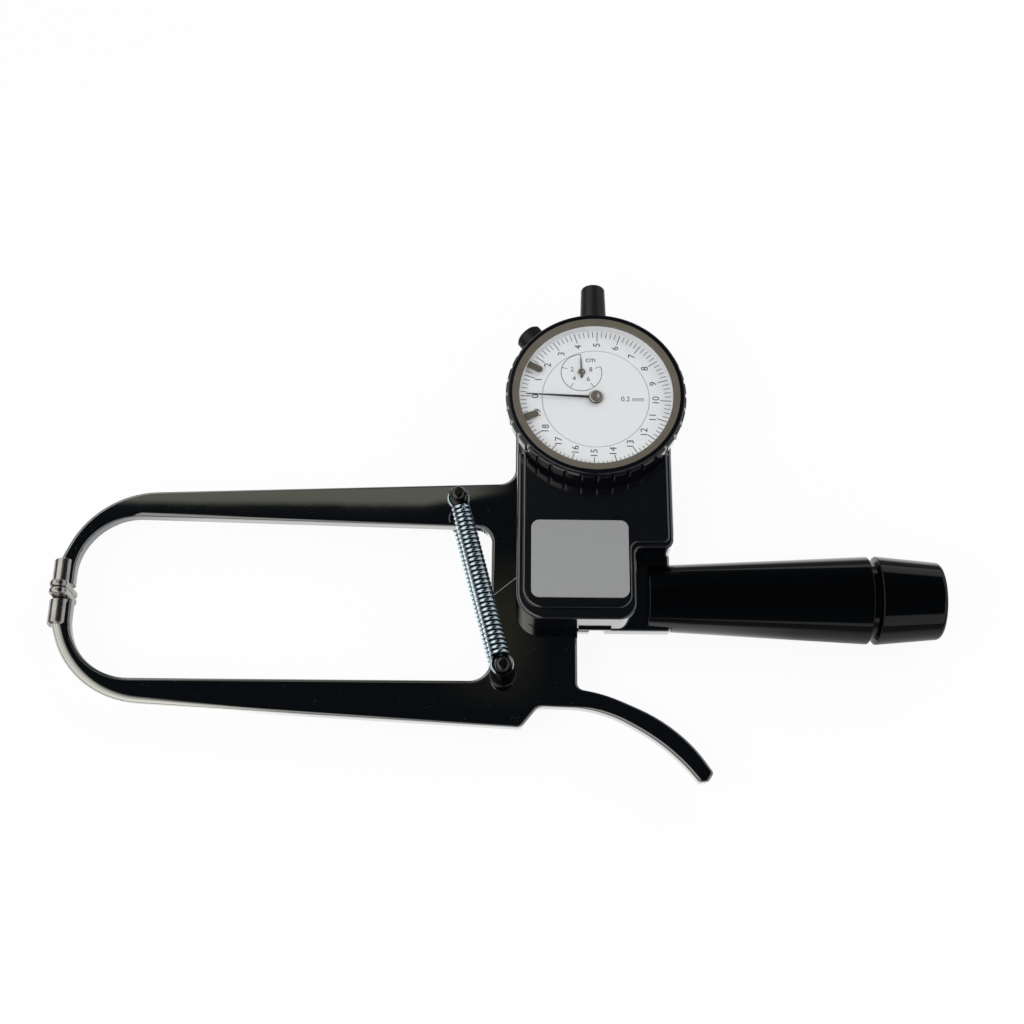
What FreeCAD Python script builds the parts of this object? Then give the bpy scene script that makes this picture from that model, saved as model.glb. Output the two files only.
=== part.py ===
"""Skinfold caliper: two sprung jaw arms on a knuckle joint, a dial gauge and a turned handle.

The jaws lie in the XY plane and the dial faces +Z. The origin is on the jaw pivot's axis, in the
plane that the rear cover rests on. Sizes are in millimetres and angles in degrees.
"""
import FreeCAD, Part
import math
import os
import Sketcher

SIZES = [
    # alias, value, what it is
    ("mid_height", 14.0, "height of the jaw plates' middle plane above the rest plane"),
    ("plate_thick", 4.8, "thickness of both jaw plates"),
    ("edge_round", 1.1, "rounding of the jaw plates' edges"),
    ("jaw_reach", 157.0, "jaw pivot to the axis of the contact sleeves"),
    ("knuckle_radius", 13.0, "front leaf of the knuckle joint"),
    ("knuckle_gap", 0.2, "gap between leaf and recess"),
    ("tongue_radius", 15.0, "rear leaf of the knuckle joint"),
    ("seam_gap", 0.15, "gap between the closed jaws at the seam"),
    ("slip_gap", 0.05, "gap between faces that slide over each other"),
    ("body_left", 13.4, "pivot to the frame's left edge"),
    ("body_foot", 11.5, "pivot to the frame's lower edge"),
    ("pin_radius", 3.0, "jaw pivot pin"),
    ("sleeve_radius", 3.45, "contact sleeves on the jaw tips"),
    ("sleeve_length", 8.6, "contact sleeves on the jaw tips"),
    ("pad_width", 6.0, "contact pads, along the jaws"),
    ("pad_depth", 15.0, "contact pads, across the jaws"),
    ("pad_thick", 2.3, "contact pads"),
    ("upper_post_x", -31.6, "upper spring posts"),
    ("upper_post_y", 30.1, "upper spring posts"),
    ("lower_post_x", -16.8, "lower spring posts"),
    ("lower_post_y", -26.1, "lower spring posts"),
    ("post_radius", 1.85, "spring posts"),
    ("post_length", 12.0, "spring posts, from the plate to the crown"),
    ("collar_radius", 4.25, "collars of the lower spring posts"),
    ("spring_height", 8.4, "spring axis above the plate's face"),
    ("coil_radius", 3.0, "springs, outside"),
    ("wire", 0.8, "spring wire diameter"),
    ("loop_radius", 3.0, "centre line of the springs' end loops"),
    ("gauge_x", 12.2, "dial gauge centre"),
    ("gauge_y", 61.7, "dial gauge centre"),
    ("case_radius", 26.0, "gauge case, outside"),
    ("case_height", 13.9, "gauge case, from the plate"),
    ("case_wall", 1.8, "gauge case wall and floor"),
    ("skirt_over", 3.0, "bezel skirt, beyond the case"),
    ("bezel_height", 5.9, "bezel, skirt and rim"),
    ("bezel_notches", 36, "grip notches round the skirt"),
    ("ring_over", 0.9, "metal ring in the bezel, beyond the case"),
    ("ring_width", 2.3, "metal ring in the bezel"),
    ("ring_thick", 1.0, "metal ring in the bezel"),
    ("scale_width", 7.3, "turning part of the dial"),
    ("marker_width", 2.2, "limit markers"),
    ("spindle_drop", 7.3, "gauge spindle, below the case's top"),
    ("spindle_radius", 2.0, "gauge spindle"),
    ("run_gap", 0.06, "running clearance of shafts in their bores"),
    ("cover_height", 11.0, "front cover"),
    ("cover_wall", 1.6, "front and rear cover walls"),
    ("label_thick", 0.5, "label plate"),
    ("grip_start", 28.5, "handle grip, inner end"),
    ("grip_length", 92.8, "handle grip"),
    ("grip_small", 10.4, "handle grip radius, inner end"),
    ("grip_large", 13.9, "handle grip radius at the groove"),
    ("drive_radius", 12.63, "drive pin, from the jaw pivot"),
    ("drive_pin", 1.5, "drive pin radius"),
]

doc = FreeCAD.newDocument("skinfold_caliper")
pieces = []


def number(value):
    """The plain number of a size or of a number."""
    return value.value if isinstance(value, Size) else float(value)


def words(value):
    """The expression of a size or of a number."""
    return value.text if isinstance(value, Size) else repr(float(value))


class Size:
    """A number together with the spreadsheet expression that gives it."""

    def __init__(self, value, text):
        self.value = value
        self.text = text

    def __add__(self, other):
        return Size(self.value + number(other), f"({self.text} + {words(other)})")

    def __sub__(self, other):
        return Size(self.value - number(other), f"({self.text} - {words(other)})")

    def __rsub__(self, other):
        return Size(number(other) - self.value, f"({words(other)} - {self.text})")

    def __mul__(self, other):
        return Size(self.value * number(other), f"({self.text} * {words(other)})")

    def __truediv__(self, other):
        return Size(self.value / number(other), f"({self.text} / {words(other)})")

    def __neg__(self):
        return Size(-self.value, f"(0 - {self.text})")

    __radd__ = __add__
    __rmul__ = __mul__


class Sizes:
    """The spreadsheet's sizes, each an attribute with its alias as its name."""

    def __init__(self, rows):
        sheet = doc.addObject("Spreadsheet::Sheet", "sizes")
        for row, (alias, value, note) in enumerate(rows, start=1):
            sheet.set(f"A{row}", note)
            sheet.set(f"B{row}", str(value))
            sheet.setAlias(f"B{row}", alias)
            setattr(self, alias, Size(value, f"sizes.{alias}"))
        doc.recompute()


S = Sizes(SIZES)
FRONT = S.mid_height + S.plate_thick / 2
REAR = S.mid_height - S.plate_thick / 2
HALF = S.plate_thick / 2
CASE_TOP = FRONT + S.case_height
SPINDLE = S.case_height - S.spindle_drop
RING_OUTER = S.case_radius + S.ring_over
RING_INNER = RING_OUTER - S.ring_width
DISC = RING_INNER - S.scale_width
ACROSS = FreeCAD.Rotation(FreeCAD.Vector(1, 0, 0), -90)
ALONG = FreeCAD.Rotation(FreeCAD.Vector(0, 1, 0), 90)


def place(thing, x=0, y=0, z=0, turn=None):
    """Bind a thing's position to sizes, with a fixed turn."""
    thing.Placement = FreeCAD.Placement(FreeCAD.Vector(), turn or FreeCAD.Rotation())
    for axis, value in (("x", x), ("y", y), ("z", z)):
        thing.setExpression(f"Placement.Base.{axis}", words(value))


def new_body(label, x=0, y=0, z=0, turn=None):
    """An empty body that becomes one sub-part."""
    body = doc.addObject("PartDesign::Body", label)
    body.Label = label
    place(body, x, y, z, turn)
    pieces.append(body)
    return body


def corner_path(corners):
    """Tangent points and arc of each rounded corner of a closed outline."""
    path = []
    count = len(corners)
    for index, (x, y, radius) in enumerate(corners):
        point = FreeCAD.Vector(number(x), number(y), 0)
        before = FreeCAD.Vector(number(corners[index - 1][0]), number(corners[index - 1][1]), 0)
        after = corners[(index + 1) % count]
        after = FreeCAD.Vector(number(after[0]), number(after[1]), 0)
        if not number(radius):
            path.append((point, point, None, True))
            continue
        inward = (before - point).normalize()
        outward = (after - point).normalize()
        half = inward.getAngle(outward) / 2
        reach = number(radius) / math.tan(half)
        centre = point + (inward + outward).normalize() * (number(radius) / math.sin(half))
        left_turn = inward.cross(outward).z < 0
        start = point + inward * reach
        end = point + outward * reach
        path.append((start, end, centre, left_turn))
    return path


def draw(sketch, corners):
    """Draw and fix one closed outline, given as corners (x, y, rounding)."""
    path = corner_path(corners)
    count = len(corners)
    first = len(sketch.Geometry)
    lines = [Part.LineSegment(path[i][1], path[(i + 1) % count][0]) for i in range(count)]
    sketch.addGeometry(lines, False)
    fixed = []
    for index, (x, y, radius) in enumerate(corners):
        start, end, centre, left_turn = path[index]
        entry = first + (index - 1) % count
        leaving = first + index
        if centre is None:
            fixed.append(("Coincident", entry, 2, leaving, 1))
            spot = leaving
        else:
            begin, finish = (start, end) if left_turn else (end, start)
            angles = [math.atan2((p - centre).y, (p - centre).x) for p in (begin, finish)]
            circle = Part.Circle(centre, FreeCAD.Vector(0, 0, 1), number(radius))
            arc = sketch.addGeometry(Part.ArcOfCircle(circle, *angles), False)
            spot = sketch.addGeometry(Part.Point(FreeCAD.Vector(number(x), number(y), 0)), True)
            fixed.append(("PointOnObject", spot, 1, entry))
            fixed.append(("PointOnObject", spot, 1, leaving))
            fixed.append(("Tangent", entry, 2, arc, 1 if left_turn else 2))
            fixed.append(("Tangent", leaving, 1, arc, 2 if left_turn else 1))
            fixed.append(("Radius", arc, radius))
        fixed.append(("DistanceX", -1, 1, spot, 1, x))
        fixed.append(("DistanceY", -1, 1, spot, 1, y))
    fix(sketch, fixed)


def fix(sketch, fixed):
    """Add constraints; a size at a constraint's end is bound to the sheet."""
    for kind, *values in fixed:
        sizes = [value for value in values if isinstance(value, Size)]
        values = [number(value) if isinstance(value, Size) else value for value in values]
        if kind in ("Radius", "DistanceX", "DistanceY"):
            values[-1] = float(values[-1])
        index = sketch.addConstraint(Sketcher.Constraint(kind, *values))
        if sizes:
            sketch.setExpression(f"Constraints[{index}]", sizes[0].text)


def ring(sketch, x, y, radius):
    """Draw and fix one circle."""
    centre = FreeCAD.Vector(number(x), number(y), 0)
    circle = Part.Circle(centre, FreeCAD.Vector(0, 0, 1), number(radius))
    index = sketch.addGeometry(circle, False)
    fix(sketch, [("DistanceX", -1, 1, index, 3, x), ("DistanceY", -1, 1, index, 3, y),
                 ("Radius", index, radius)])


def new_sketch(body, height=0, plane="XY_Plane"):
    """An empty sketch on one of the body's own planes, moved along its normal."""
    sketch = body.newObject("Sketcher::SketchObject", "Outline")
    base = [item for item in body.Origin.OriginFeatures if item.Role == plane][0]
    sketch.AttachmentSupport = [(base, "")]
    sketch.MapMode = "FlatFace"
    sketch.setExpression("AttachmentOffset.Base.z", words(height))
    return sketch


def pad(body, sketch, length):
    """Raise a sketch by a length."""
    feature = body.newObject("PartDesign::Pad", "Pad")
    feature.Profile = sketch
    feature.setExpression("Length", words(length))
    doc.recompute()
    return feature


def pocket(body, sketch, depth):
    """Cut a sketch down by a depth."""
    feature = body.newObject("PartDesign::Pocket", "Pocket")
    feature.Profile = sketch
    feature.setExpression("Length", words(depth))
    doc.recompute()
    return feature


def slab(body, corners, bottom, thick):
    """Add a plate with the given outline between two heights."""
    sketch = new_sketch(body, bottom)
    draw(sketch, corners)
    return pad(body, sketch, thick)


def disc(body, x, y, radius, bottom, thick):
    """Add a round plate between two heights."""
    sketch = new_sketch(body, bottom)
    ring(sketch, x, y, radius)
    return pad(body, sketch, thick)


def cut_slab(body, corners, top, depth):
    """Cut the given outline away between two heights."""
    sketch = new_sketch(body, top)
    draw(sketch, corners)
    return pocket(body, sketch, depth)


def cut_disc(body, x, y, radius, top, depth):
    """Cut a round hole between two heights."""
    sketch = new_sketch(body, top)
    ring(sketch, x, y, radius)
    return pocket(body, sketch, depth)


def soften(body, feature, radius, wanted):
    """Round the edges of a feature that are wanted."""
    names = [f"Edge{index}" for index, edge in enumerate(feature.Shape.Edges, start=1)
             if wanted(edge)]
    rounding = body.newObject("PartDesign::Fillet", "Rounding")
    rounding.Base = (feature, names)
    rounding.setExpression("Radius", words(radius))
    doc.recompute()
    return rounding


def level(edge, height):
    """Whether an edge lies flat at a height."""
    box = edge.BoundBox
    return abs(box.ZMin - number(height)) < 0.001 and abs(box.ZMax - number(height)) < 0.001


def turned(label, corners, x=0, y=0, z=0, turn=None):
    """A body turned about its own axis from a profile of corners (radius, height, rounding)."""
    body = new_body(label, x, y, z, turn)
    sketch = new_sketch(body, 0, "XZ_Plane")
    draw(sketch, corners)
    feature = body.newObject("PartDesign::Revolution", "Turning")
    feature.Profile = sketch
    feature.ReferenceAxis = (sketch, ["V_Axis"])
    feature.Angle = 360
    doc.recompute()
    return body


def cylinder(label, radius, height, x=0, y=0, z=0, turn=None):
    """A plain round rod, not yet a sub-part."""
    rod = doc.addObject("Part::Cylinder", label)
    rod.setExpression("Radius", words(radius))
    rod.setExpression("Height", words(height))
    place(rod, x, y, z, turn)
    return rod


def joined(label, shapes, kind="Part::MultiFuse"):
    """One sub-part made of several shapes, fused or kept as separate solids."""
    group = doc.addObject(kind, label)
    if kind == "Part::Compound":
        group.Links = shapes
    else:
        group.Shapes = shapes
    group.Label = label
    pieces.append(group)
    doc.recompute()
    return group


def cut_rod(body, radius, height, x, y, z, turn):
    """Bore a round hole in any direction."""
    bore = body.newObject("PartDesign::SubtractiveCylinder", "Bore")
    bore.setExpression("Radius", words(radius))
    bore.setExpression("Height", words(height))
    place(bore, x, y, z, turn)
    doc.recompute()
    return bore


def polar(radius, angle, x=0, y=0):
    """A point at a radius and an angle from a centre."""
    return x + radius * math.cos(math.radians(angle)), y + radius * math.sin(math.radians(angle))


# The closed seam between the jaws is a straight line that runs up to the knuckle.
SEAM_SLOPE = 5.5 / 6.6
TIP = -S.jaw_reach


def seam_y(x, gap=0):
    """Height of the seam at x, moved down by a gap."""
    return (x + 20.1) * SEAM_SLOPE - gap


def fixed_jaw_frame():
    """Upper jaw arm in one plate with the frame that carries gauge, covers and handle."""
    body = new_body("fixed_jaw_frame", 0, 0, S.mid_height)
    half = S.gauge_x + S.body_left
    left = -S.body_left
    right = S.gauge_x + half
    top = S.gauge_y + half
    outline = [
        (TIP - 2.1, 2.6, 0), (TIP - 2.1, 8.6, 0), (TIP + 8.3, 33.8, 30.0), (left, 38.65, 5.4),
        (left, top, half - 0.01), (right, top, half - 0.01), (right, 21.0, 4.0), (36.0, 15.0, 2.0),
        (36.0, -S.body_foot, 1.3), (14.3, -S.body_foot, 0), (10.0, -4.05, 0), (5.0, -8.0, 0),
        (-3.0, -3.0, 0), (-8.24, 9.88, 0), (-20.8, seam_y(-20.8), 0), (-20.8, 23.1, 5.5),
        (TIP + 3.8, 26.35, 19.3), (TIP + 3.8, 2.6, 0),
    ]
    plate = slab(body, outline, -HALF, S.plate_thick)

    def open_rim(edge):
        x, y = edge.CenterOfMass.x, edge.CenterOfMass.y
        knuckle = -20.5 < x < 30 and y < 12
        tip = y < 3 and x < -100
        return (level(edge, HALF) or level(edge, -HALF)) and not knuckle and not tip

    soften(body, plate, S.edge_round, open_rim)
    disc(body, 0, 0, S.knuckle_radius, S.slip_gap / 2, HALF - S.slip_gap / 2)
    cut_disc(body, 0, 0, S.tongue_radius + 0.3, S.slip_gap / 2, HALF * 2)
    notch = [(0.9, -16.0, 0), (0.9, -8.9, 0), (9.6, -4.3, 0), (9.3, -3.6, 0),
             (10.4, -3.5, 0), (17.6, -16.0, 0)]
    cut_slab(body, notch, HALF + 1, S.plate_thick + 2)
    drive_slot(body)
    cut_disc(body, 0, 0, S.pin_radius, HALF + 1, S.plate_thick + 2)
    cut_rod(body, S.sleeve_radius, S.sleeve_length + 1, TIP, 2.4 - 1, 0, ACROSS)
    for x, y in COVER_SCREWS + REAR_SCREWS:
        cut_disc(body, x, y, 1.2, HALF + 1, S.plate_thick + 2)
    return body


def drive_slot(body):
    """Curved slot through the front leaf for the drive pin."""
    sketch = new_sketch(body, HALF + 1)
    inner = S.drive_radius - S.drive_pin - 0.3
    outer = S.drive_radius + S.drive_pin + 0.3
    swing = math.radians(24)
    centre = FreeCAD.Vector()
    up = FreeCAD.Vector(0, 0, 1)
    arcs = [sketch.addGeometry(Part.ArcOfCircle(Part.Circle(centre, up, number(r)), -swing, swing))
            for r in (inner, outer)]
    ends = []
    for side, position in ((-swing, 1), (swing, 2)):
        near = FreeCAD.Vector(math.cos(side), math.sin(side), 0) * number(inner)
        far = FreeCAD.Vector(math.cos(side), math.sin(side), 0) * number(outer)
        line = sketch.addGeometry(Part.LineSegment(near, far))
        fix(sketch, [("Coincident", line, 1, arcs[0], position),
                     ("Coincident", line, 2, arcs[1], position),
                     ("PointOnObject", -1, 1, line)])
        ends.append(line)
    fix(sketch, [("Coincident", arcs[0], 3, -1, 1), ("Coincident", arcs[1], 3, -1, 1),
                 ("Radius", arcs[0], inner), ("Radius", arcs[1], outer)])
    for line, sign in zip(ends, (-1, 1)):
        fix(sketch, [("Angle", -1, line, sign * swing)])
    return pocket(body, sketch, S.plate_thick + 2)


def moving_jaw():
    """Lower jaw arm in one plate with the knuckle tongue and the trigger."""
    body = new_body("moving_jaw", 0, 0, S.mid_height)
    outline = [
        (TIP - 3.0, -2.6, 0), (TIP - 3.0, -7.4, 0), (TIP + 6.6, -35.2, 31.5),
        (-11.0, -42.75, 3.0), (-5.6, -36.0, 3.5), (8.7, -36.45, 34.0), (17.9, -39.08, 42.0),
        (31.58, -46.98, 58.0), (39.4, -54.8, 50.0), (42.9, -59.2, 1.6), (45.8, -58.9, 1.5),
        (47.5, -56.2, 1.3), (41.87, -47.87, 44.0), (31.49, -39.16, 50.0), (14.83, -31.74, 50.0),
        (6.4, -30.25, 2.2), (6.4, -9.6, 0), (-9.0, 0.0, 0), (-12.2, 3.0, 0),
        (-12.2, seam_y(-12.2, S.seam_gap * 1.3), 0), (-20.8, seam_y(-20.8, S.seam_gap * 1.3), 0),
        (-20.8, -27.9, 6.5), (TIP + 4.0, -28.05, 20.3), (TIP + 4.0, -2.6, 0),
    ]
    plate = slab(body, outline, -HALF, S.plate_thick)

    def open_rim(edge):
        x, y = edge.CenterOfMass.x, edge.CenterOfMass.y
        knuckle = -20.5 < x < 5 and y > -15
        tip = y > -3 and x < -100
        return (level(edge, HALF) or level(edge, -HALF)) and not knuckle and not tip

    soften(body, plate, S.edge_round, open_rim)
    cut_disc(body, 0, 0, S.knuckle_radius + S.knuckle_gap, HALF + 1, HALF + 1 + S.slip_gap / 2)
    disc(body, 0, 0, S.tongue_radius, -HALF, HALF - S.slip_gap / 2)
    cut_disc(body, 0, 0, S.tongue_radius, -HALF + 0.2, 1)
    below = -S.body_foot + 0.3
    far = -S.tongue_radius - 1
    cut_slab(body, [(6.4, below, 0), (6.4, far, 0), (16.0, far, 0), (16.0, below, 0)], 0,
             S.plate_thick)
    lug = [(1.1, -14.0, 0), (6.4, -14.0, 0), (6.4, -9.6, 0.8), (1.1, -9.6, 0)]
    slab(body, lug, -HALF + 0.2, S.plate_thick - 0.2)
    cut_disc(body, 0, 0, S.pin_radius + 1.5, HALF + 1, S.plate_thick + 2)
    pin_x, pin_y = polar(S.drive_radius, -15)
    cut_disc(body, pin_x, pin_y, S.drive_pin, HALF + 1, S.plate_thick + 2)
    cut_rod(body, S.sleeve_radius, S.sleeve_length + 1, TIP, -2.4 - S.sleeve_length, 0,
            ACROSS)
    return body


def knuckle():
    """Pivot pin with its rear head, the bush it turns in, and the clip on its front end."""
    shank = S.pin_radius
    groove = shank - 0.5
    length = S.plate_thick + 1.2
    turned("pivot_pin", [
        (0, -1.2, 0), (4.2, -1.2, 0.3), (4.2, 0, 0), (shank, 0, 0), (shank, length - 1.15, 0),
        (groove, length - 1.15, 0), (groove, length - 0.35, 0), (shank, length - 0.35, 0),
        (shank, length + 0.25, 0), (0, length + 0.25, 0)], 0, 0, REAR)
    turned("pivot_clip", [
        (groove, 0, 0), (4.4, 0, 0), (4.4, 0.8, 0), (groove, 0.8, 0)],
        0, 0, REAR + length - 1.15)
    bore = shank + S.run_gap / 2
    depth = HALF - 0.2 - S.slip_gap / 2
    turned("pivot_bush", [
        (bore, 0, 0), (shank + 1.5, 0, 0), (shank + 1.5, depth, 0), (bore, depth, 0)],
        0, 0, REAR + 0.2)


def contacts():
    """Nickel sleeve and oblong contact pad at the tip of each jaw."""
    sleeve = [(0, 0, 0), (S.sleeve_radius - 0.5, 0, 0), (S.sleeve_radius, 0.5, 0),
              (S.sleeve_radius, S.sleeve_length - 0.5, 0),
              (S.sleeve_radius - 0.5, S.sleeve_length, 0), (0, S.sleeve_length, 0)]
    start = S.pad_thick + 0.1
    turned("fixed_jaw_sleeve", sleeve, TIP, start, S.mid_height, ACROSS)
    turned("moving_jaw_sleeve", sleeve, TIP, -start - S.sleeve_length, S.mid_height, ACROSS)
    wide = S.pad_width / 2
    deep = S.pad_depth / 2
    for label, base in (("fixed_contact_pad", 0.05), ("moving_contact_pad", -S.pad_thick - 0.05)):
        body = new_body(label, TIP + 0.4, base, S.mid_height, ACROSS)
        outline = [(-wide, -deep, 2.6), (wide, -deep, 2.6), (wide, deep, 2.6), (-wide, deep, 2.6)]
        block = slab(body, outline, 0, S.pad_thick)
        soften(body, block, 0.9, lambda edge: level(edge, 0) or level(edge, S.pad_thick))


def spring_posts():
    """Grooved posts that the springs hook over; the lower ones stand on collars."""
    neck = S.spring_height
    foot = S.post_radius + 0.35
    shank = [(S.post_radius, neck - 1.4, 0), (S.post_radius, neck + 0.9, 0),
             (2.4, neck + 1.3, 0)]
    plain = [(0, 0, 0), (foot, 0, 0)]
    collar = [(0, 0, 0), (S.collar_radius, 0, 0), (S.collar_radius, 1.0, 0.4), (foot, 1.0, 0)]
    over = FreeCAD.Rotation(FreeCAD.Vector(1, 0, 0), 180)
    for name, base, x, y in (("upper", plain, S.upper_post_x, S.upper_post_y),
                             ("lower", collar, S.lower_post_x, S.lower_post_y)):
        for side, crown, z, turn in (("front", S.post_length, FRONT, None),
                                     ("rear", REAR - 0.3, REAR, over)):
            turned(f"{side}_{name}_spring_post",
                   base + shank + [(2.4, crown, 1.4), (0, crown, 0)], x, y, z, turn)


def spring_axis():
    """Direction and length from the upper to the lower posts at rest, as plain numbers."""
    dx = number(S.lower_post_x) - number(S.upper_post_x)
    dy = number(S.lower_post_y) - number(S.upper_post_y)
    return math.degrees(math.atan2(dy, dx)), math.hypot(dx, dy)


def springs():
    """A tension spring on each side: the coil with its upper loop, and its lower loop."""
    angle, length = spring_axis()
    seat = number(S.loop_radius) - number(S.wire) / 2 - number(S.post_radius) - 0.05
    along = turned_along(angle)
    loop = S.loop_radius
    for side, height in (("front", FRONT + S.spring_height), ("rear", REAR - S.spring_height)):
        upper = polar(seat, angle, S.upper_post_x, S.upper_post_y)
        lower = polar(-seat, angle, S.lower_post_x, S.lower_post_y)
        start = polar(loop - S.wire / 2, angle, *upper)
        coil_length = length - 2 * seat - 2 * number(loop) + number(S.wire)
        outer = cylinder(f"{side}_coil_outer", S.coil_radius, coil_length, *start, height, along)
        hollow = polar(S.wire, angle, *start)
        inner = cylinder(f"{side}_coil_inner", S.coil_radius - S.wire, coil_length, *hollow,
                         height, along)
        coil = doc.addObject("Part::Cut", f"{side}_coil")
        coil.Base = outer
        coil.Tool = inner
        eye = torus(f"{side}_upper_eye", loop, S.wire / 2, *upper, height)
        joined(f"{side}_spring", [coil, eye])
        hook = torus(f"{side}_lower_eye", loop, S.wire / 2, *lower, height)
        hook.Label = f"{side}_spring_hook"
        pieces.append(hook)


def torus(name, radius, tube, x, y, z):
    """A round wire loop that lies flat."""
    loop = doc.addObject("Part::Torus", name)
    loop.setExpression("Radius1", words(radius))
    loop.setExpression("Radius2", words(tube))
    place(loop, x, y, z)
    return loop


COVER_SCREWS = [(-5.5, 27.0), (24.0, 27.0)]
REAR_SCREWS = [(-5.0, 34.0), (23.0, 15.0)]


def cover_outline(inset):
    """Outline of the front cover, moved inwards."""
    left = -S.body_left + 0.6 + inset
    foot = -S.body_foot + 0.5 + inset
    return [(left, foot, 8.5 - inset), (24.6 - inset, foot, 5.5 - inset),
            (24.6 - inset, 12.7 + inset, 2.0), (36.5 - inset, 12.7 + inset, 2.8 - inset / 2),
            (36.5 - inset, 45.0 - inset, 0), (left, 45.0 - inset, 0)]


def front_cover():
    """Hollow cover over the knuckle and the gauge spindle, with a raised plateau."""
    body = new_body("front_cover", 0, 0, FRONT)
    ledge = S.cover_height - 1.0
    ceiling = S.cover_height - S.cover_wall
    relief = 0.35
    block = slab(body, cover_outline(0), 0, ledge)
    soften(body, block, 1.1, lambda edge: level(edge, ledge))
    left = -S.body_left + 2.4
    plateau = [(left, -7.8, 6.2), (23.2, -7.8, 4.5), (23.2, 14.1, 2.4), (35.2, 14.1, 1.8),
               (35.2, 45.0, 0), (left, 45.0, 0)]
    raised = slab(body, plateau, ledge - 1.5, 2.5)
    soften(body, raised, 0.8, lambda edge: level(edge, S.cover_height))
    lip = -S.body_foot - 0.25
    slab(body, [(6.7, lip, 0), (17.0, lip, 0), (17.0, lip + 1.5, 0), (6.7, lip + 1.5, 0)],
         relief, 0.7)
    cut_slab(body, cover_outline(S.cover_wall), ceiling, S.cover_height)
    cut_disc(body, S.gauge_x, S.gauge_y, S.case_radius + 0.2, S.cover_height + 1,
             S.cover_height + 2)
    cut_slab(body, [(-0.5, -14.0, 0), (16.5, -14.0, 0), (16.5, -8.0, 0), (-0.5, -8.0, 0)],
             relief, 1)
    for x, y in COVER_SCREWS:
        disc(body, x, y, 2.6, 0, ceiling)
        cut_disc(body, x, y, 1.2, 6.0, 7)


def rear_cover():
    """Hollow cover behind the knuckle; its flat back is what the caliper lies on."""
    turn = FreeCAD.Rotation(FreeCAD.Vector(1, 0, 0), 180)
    body = new_body("rear_cover", 0, 0, REAR, turn)
    tall = S.mid_height - HALF

    def outline(inset):
        rounding = 6.0 - inset
        left = -10.0 + inset
        right = S.grip_start - 0.2 - inset
        foot = -41.0 + inset
        head = 6.0 - inset
        return [(left, foot, rounding), (right, foot, rounding), (right, head, rounding),
                (left, head, rounding)]

    block = slab(body, outline(0), 0, tall)
    soften(body, block, 1.2, lambda edge: level(edge, tall))
    cut_slab(body, outline(S.cover_wall), tall - S.cover_wall, tall)
    for x, y in REAR_SCREWS:
        disc(body, x, -y, 2.8, 0, tall - S.cover_wall)
        cut_disc(body, x, -y, 1.2, tall + 1, tall + 2)
        cut_disc(body, x, -y, 2.3, tall + 1, 2.6)


def screw(name, x, y, head_z, shank, turn=None):
    """A cheese-head screw with its head's flat side at a height."""
    head = cylinder(f"{name}_head", 2.1, 1.4, x, y, head_z, turn)
    stem = cylinder(f"{name}_stem", 1.1, shank, x, y, head_z, FreeCAD.Rotation(
        FreeCAD.Vector(1, 0, 0), 180) if turn is None else None)
    fused = doc.addObject("Part::Fuse", name)
    fused.Base = head
    fused.Tool = stem
    return fused


def cover_screws():
    """Screws through the plate into the front cover, and through the rear cover."""
    over = FreeCAD.Rotation(FreeCAD.Vector(1, 0, 0), 180)
    front = [screw(f"front_screw_{i}", x, y, REAR, 8.5, over)
             for i, (x, y) in enumerate(COVER_SCREWS)]
    joined("cover_screws", front, "Part::Compound")
    rear = [screw(f"rear_screw_{i}", x, y, 1.6, 10.8, over) for i, (x, y) in enumerate(REAR_SCREWS)]
    joined("rear_cover_screws", rear, "Part::Compound")


def label_plate():
    """Bare metal plate on the front cover."""
    body = new_body("label_plate", 0, 0, FRONT + S.cover_height)
    outline = [(-8.3, -4.6, 2.6), (22.2, -4.6, 2.6), (22.2, 21.1, 2.6), (-8.3, 21.1, 2.6)]
    plate = slab(body, outline, 0, S.label_thick)
    soften(body, plate, 0.15, lambda edge: level(edge, S.label_thick))


def handle():
    """Turned grip with a slot for the frame, and the stud that holds it."""
    groove = S.grip_large - 2.1
    mark = S.grip_length - 23.2
    body = turned("handle_grip", [
        (0, 0, 0), (S.grip_small, 0, 0.5), (S.grip_large, mark, 0.4), (groove, mark + 0.5, 0),
        (groove, mark + 2.0, 0), (S.grip_large + 0.15, mark + 2.6, 0.5),
        (S.grip_large - 1.75, S.grip_length, 1.6), (0, S.grip_length, 0)],
        S.grip_start, 0, S.mid_height, ALONG)
    slot = body.newObject("PartDesign::SubtractiveBox", "Slot")
    slot.setExpression("Length", words(S.plate_thick + 0.04))
    slot.Width = 40
    slot.setExpression("Height", words(36.05 - S.grip_start + 1))
    place(slot, -HALF - 0.02, -20, -1)
    doc.recompute()
    cut_rod(body, 4.0, 60, 0, 0, 6, None)
    stud = cylinder("handle_stud", 4.0, 52, 36.05, 0, S.mid_height, ALONG)
    stud.Label = "handle_stud"
    pieces.append(stud)


GAUGE_SCREWS = [(-12.0, -12.0), (12.0, 12.0)]
CLAMP_ANGLE = 128.7
CLAMP_DROP = 6.3
CAP_RADIUS = 4.43


def turned_along(angle):
    """The turn that lays a piece's own axis level at an angle from +X."""
    return FreeCAD.Rotation(FreeCAD.Vector(0, 0, 1), angle).multiply(ALONG)


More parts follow.
